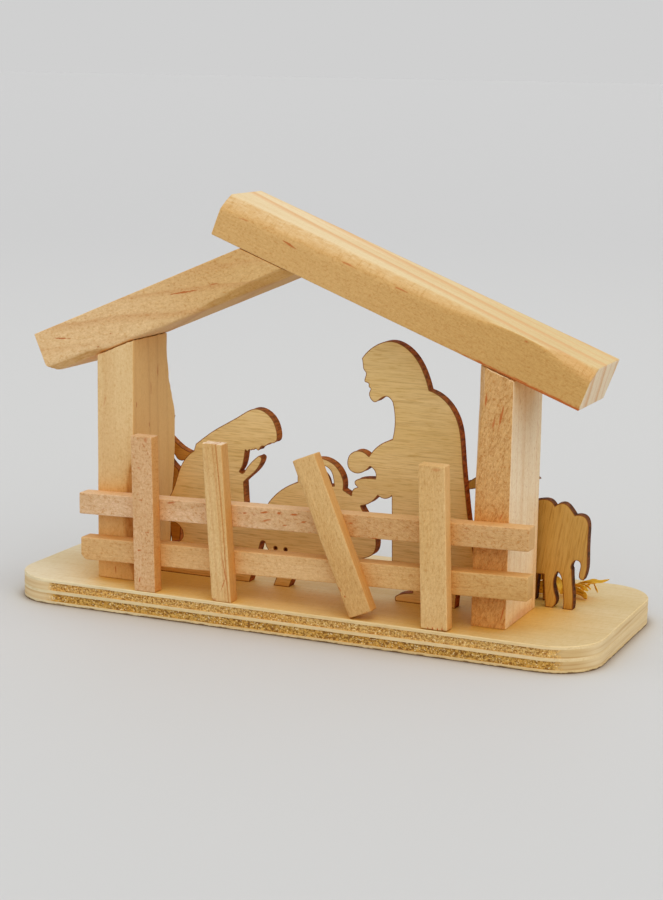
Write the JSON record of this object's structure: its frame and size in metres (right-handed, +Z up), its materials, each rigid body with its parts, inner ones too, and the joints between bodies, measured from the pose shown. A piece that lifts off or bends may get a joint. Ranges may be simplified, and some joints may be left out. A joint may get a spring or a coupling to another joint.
{
  "type": "wooden nativity stable",
  "caption": "Small wooden nativity stable: a plywood base, posts, a lopsided pitched roof, a picket fence, and flat cut-out figures of a family and animals.",
  "frame": {"origin": "middle of the base's underside", "axes": "+X along the base, to the right as seen from the fence; -Y towards the fence side; +Z up"},
  "size_m": [0.15, 0.06, 0.1016],
  "materials": {
    "plywood_veneer": "bare sanded veneer",
    "plywood_cross_grain": "bare sawn end grain, rough",
    "pine": "bare planed and sawn pine",
    "cut_plywood": "bare veneer with scorched cut edges",
    "raffia": "dry raffia fibre"
  },
  "bodies": {
    "root": {"base_bottom_veneer": "plywood_veneer", "base_core_ply": "plywood_veneer", "base_top_veneer": "plywood_veneer", "base_lower_cross_ply": "plywood_cross_grain", "base_upper_cross_ply": "plywood_cross_grain", "left_post": "pine", "right_post": "pine", "left_rafter": "pine", "right_rafter": "pine", "upper_rail": "pine", "lower_rail": "pine", "left_picket": "pine", "middle_picket": "pine", "right_picket": "pine", "leaning_picket": "pine", "family_panel": "cut_plywood", "sheep_figure": "cut_plywood", "ox_figure": "cut_plywood", "donkey_figure": "cut_plywood", "straw_strand_1": "raffia", "straw_strand_2": "raffia", "straw_strand_3": "raffia", "straw_strand_4": "raffia", "straw_strand_5": "raffia", "straw_strand_6": "raffia"}
  },
  "joints": []
}
